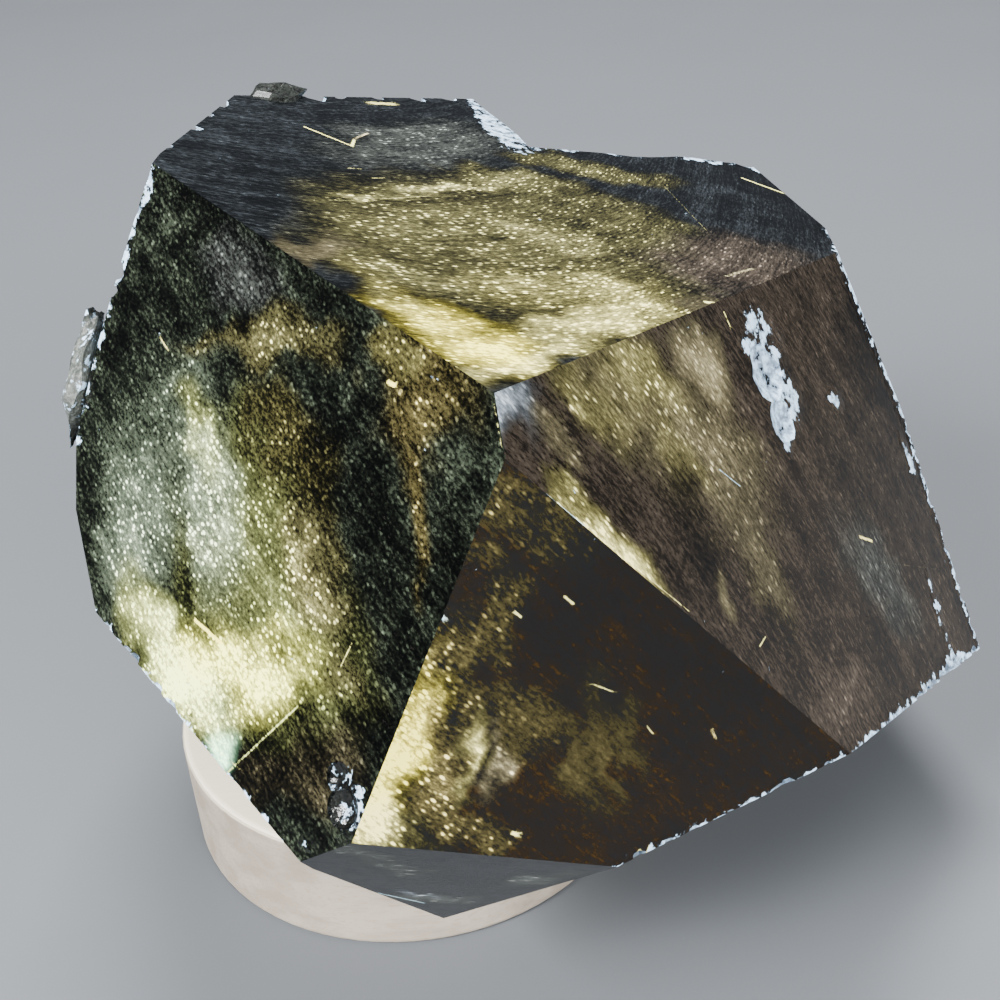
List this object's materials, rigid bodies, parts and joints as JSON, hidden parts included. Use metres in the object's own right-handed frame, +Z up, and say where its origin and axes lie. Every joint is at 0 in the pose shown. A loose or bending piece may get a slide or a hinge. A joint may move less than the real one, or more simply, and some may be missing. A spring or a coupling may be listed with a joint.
{
  "type": "smoky quartz crystal on a wooden stand",
  "caption": "Smoky quartz crystal with broad pyramid faces and a broken back, resting point forward on a round pale wooden stand.",
  "frame": {"origin": "centre of the stand's flat underside", "axes": "+Z up along the stand's axis, -Y towards the side that the crystal's tip faces, +X to the right seen from there"},
  "size_m": [0.0939, 0.0948, 0.0793],
  "materials": {
    "smoky_quartz": "clear smoky brown with golden veils, natural flat faces, chipped edges",
    "pale_wood": "pale sanded wood, fine grain"
  },
  "bodies": {
    "root": {"crystal": "smoky_quartz", "stand": "pale_wood"}
  },
  "joints": []
}
